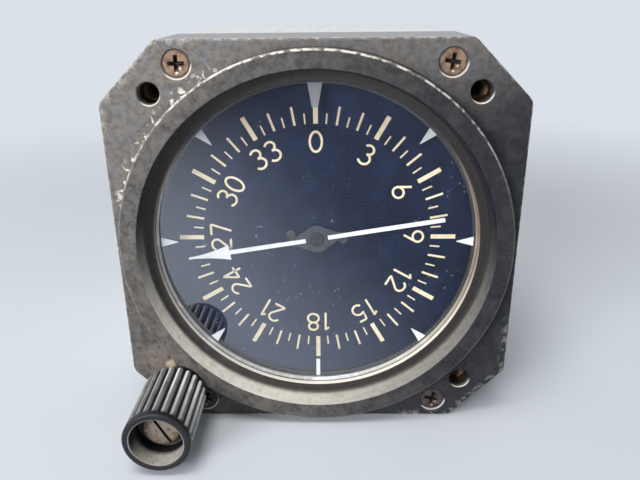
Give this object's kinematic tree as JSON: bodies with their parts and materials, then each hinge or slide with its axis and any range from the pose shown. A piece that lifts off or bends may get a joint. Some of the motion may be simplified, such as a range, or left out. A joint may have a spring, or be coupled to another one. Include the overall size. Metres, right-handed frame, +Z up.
{
  "type": "direction finder indicator",
  "caption": "Square panel instrument with a round glazed dial, a rotating compass card, an arrow pointer, a fluted setting knob and a rear connector in a deep metal can.",
  "frame": {"origin": "on the ground plane under the middle of the instrument's bounding box: the flats of the flange's foot lie at z = 0 and the dial's axis at z = 41.275 mm", "axes": "+X to the right as the pilot sees the dial, +Y back into the panel along the dial's axis, +Z up; the panel bearing face of the flange is the plane y = -25.8 mm"},
  "size_m": [0.0826, 0.0924, 0.0825],
  "materials": {
    "casting_paint": "worn dark grey paint on cast aluminium",
    "clear_glass": "clear, dusty and lightly scratched",
    "gasket_rubber": "matt black",
    "dial_paint": "matt black",
    "marking_white": "matt white",
    "aluminium": "satin",
    "screw_bronze": "brown patina",
    "brass": "machined",
    "steel": "machined",
    "knob_plastic": "worn black moulding",
    "phenolic": "dark moulding"
  },
  "bodies": {
    "housing": {"bezel_casting": "casting_paint", "glass_gasket": "gasket_rubber", "dial_glass": "clear_glass", "index_ring": "marking_white", "glass_retainer": "aluminium", "bezel_screw_top_left": "screw_bronze", "bezel_screw_top_right": "screw_bronze", "bezel_screw_bottom_right": "screw_bronze", "bezel_screw_bottom_left": "screw_bronze", "mounting_insert_top_left": "brass", "mounting_insert_top_right": "brass", "mounting_insert_bottom_right": "brass", "gear_plate": "aluminium", "card_post": "steel", "card_post_clip": "steel", "post_screw_1": "steel", "post_screw_2": "steel", "post_screw_3": "steel", "idler_stud": "steel", "idler_clip": "steel", "knob_bushing": "brass", "synchro_housing": "aluminium", "rotor_bearing": "steel", "synchro_terminal_block": "phenolic", "synchro_clamp_1": "steel", "synchro_clamp_2": "steel", "synchro_clamp_3": "steel", "clamp_screw_1": "steel", "clamp_screw_2": "steel", "clamp_screw_3": "steel", "standoff_top_left": "aluminium", "standoff_top_right": "aluminium", "standoff_bottom_right": "aluminium", "standoff_bottom_left": "aluminium", "case_can": "aluminium", "rear_screw_top_left": "steel", "rear_screw_top_right": "steel", "rear_screw_bottom_right": "steel", "rear_screw_bottom_left": "steel", "connector_shell": "aluminium", "connector_insert": "phenolic", "connector_screw_top_left": "steel", "connector_screw_top_right": "steel", "connector_screw_bottom_right": "steel", "connector_screw_bottom_left": "steel"},
    "card": {"compass_card": "dial_paint", "card_hub": "brass", "card_gear": "brass", "card_screw_left": "dial_paint", "card_screw_right": "dial_paint"},
    "pointer": {"pointer": "marking_white", "pointer_hub": "brass", "rotor_shaft": "steel"},
    "knob": {"knob": "knob_plastic", "knob_screw": "steel", "knob_pinion_shaft": "steel", "knob_shaft_clip": "steel"},
    "idler": {"idler_gear": "brass"}
  },
  "joints": [
    {"name": "card_spin", "type": "hinge", "parent": "housing", "child": "card", "pos_m": [0, -0.0194, 0.04127], "axis": [0, 1, 0], "continuous": true},
    {"name": "pointer_spin", "type": "hinge", "parent": "housing", "child": "pointer", "pos_m": [0, -0.021, 0.04127], "axis": [0, 1, 0], "continuous": true},
    {"name": "knob_spin", "type": "hinge", "parent": "housing", "child": "knob", "pos_m": [-0.0314, -0.0342, 0.00827], "axis": [0, 1, 0], "continuous": true},
    {"name": "idler_spin", "type": "hinge", "parent": "housing", "child": "idler", "pos_m": [-0.02724, -0.0158, 0.01861], "axis": [0, 1, 0], "continuous": true}
  ],
  "couplings": [
    {"joint": "knob_spin", "follows": "card_spin", "ratio": 10},
    {"joint": "idler_spin", "follows": "card_spin", "ratio": -3.2}
  ]
}
